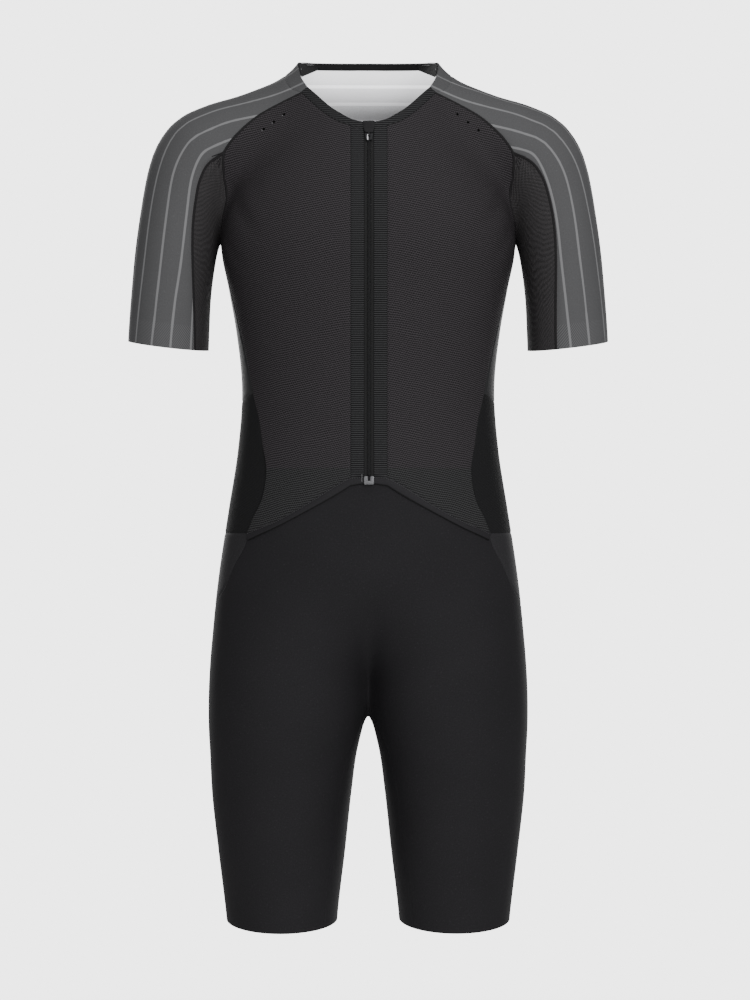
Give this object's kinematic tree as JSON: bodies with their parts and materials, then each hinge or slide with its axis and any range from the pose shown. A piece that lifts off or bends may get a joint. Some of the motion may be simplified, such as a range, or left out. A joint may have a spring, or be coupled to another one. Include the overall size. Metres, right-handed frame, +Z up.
{
  "type": "triathlon suit",
  "caption": "Short-sleeved one-piece triathlon suit, filled out as worn, with striped raglan sleeves, a ribbed front zip band, a pointed front hem and knee-length shorts.",
  "frame": {"origin": "the middle of the neck opening, where the wearer's neck and shoulders hold the suit", "axes": "+Z up along the body, the front faces -Y, +X towards the side named _r, which is the viewer's right from the front"},
  "size_m": [0.5344, 0.2424, 0.9726],
  "materials": {
    "body_mesh": "matt fine warp-knit mesh, near black",
    "striped_cloth": "smooth coated grey knit with paler pin stripes",
    "ribbed_band": "matt cross-ribbed elastic band, near black",
    "smooth_binding": "smooth satin knit, near black",
    "neck_tape": "folded soft tape, near black",
    "side_black": "matt black warp knit",
    "shorts_knit": "matt stretch knit, near black with a fine fleck",
    "zip_tape": "woven zip tape, near black",
    "zip_teeth": "black nylon coil",
    "dark_metal": "dark painted zinc",
    "bright_metal": "plain satin metal"
  },
  "bodies": {
    "suit": {"front_mesh_r": "body_mesh", "front_mesh_l": "body_mesh", "back_panel": "body_mesh", "back_yoke": "striped_cloth", "sleeve_outer_r": "striped_cloth", "sleeve_outer_l": "striped_cloth", "sleeve_inner_r": "body_mesh", "sleeve_inner_l": "body_mesh", "neck_hem_r": "striped_cloth", "neck_hem_l": "striped_cloth", "neck_band_r": "ribbed_band", "neck_band_l": "ribbed_band", "zip_facing_r": "ribbed_band", "zip_facing_l": "ribbed_band", "hem_binding": "smooth_binding", "zip_garage": "smooth_binding", "side_upper_r": "smooth_binding", "side_upper_l": "smooth_binding", "neck_tape": "neck_tape", "side_lower_r": "side_black", "side_lower_l": "side_black", "hip_side_r": "shorts_knit", "hip_side_l": "shorts_knit", "shorts_front": "shorts_knit", "shorts_back_r": "shorts_knit", "shorts_back_l": "shorts_knit", "gusset": "shorts_knit", "zip_tape_r": "zip_tape", "zip_tape_l": "zip_tape", "zip_chain": "zip_teeth", "zip_slider": "dark_metal", "zip_box": "bright_metal"},
    "pull": {"zip_pull": "bright_metal"}
  },
  "joints": [
    {"name": "pull_swing", "type": "hinge", "parent": "suit", "child": "pull", "pos_m": [0, -0.09833, -0.07464], "axis": [-1, 0, 0], "range_deg": [0, 150]}
  ]
}
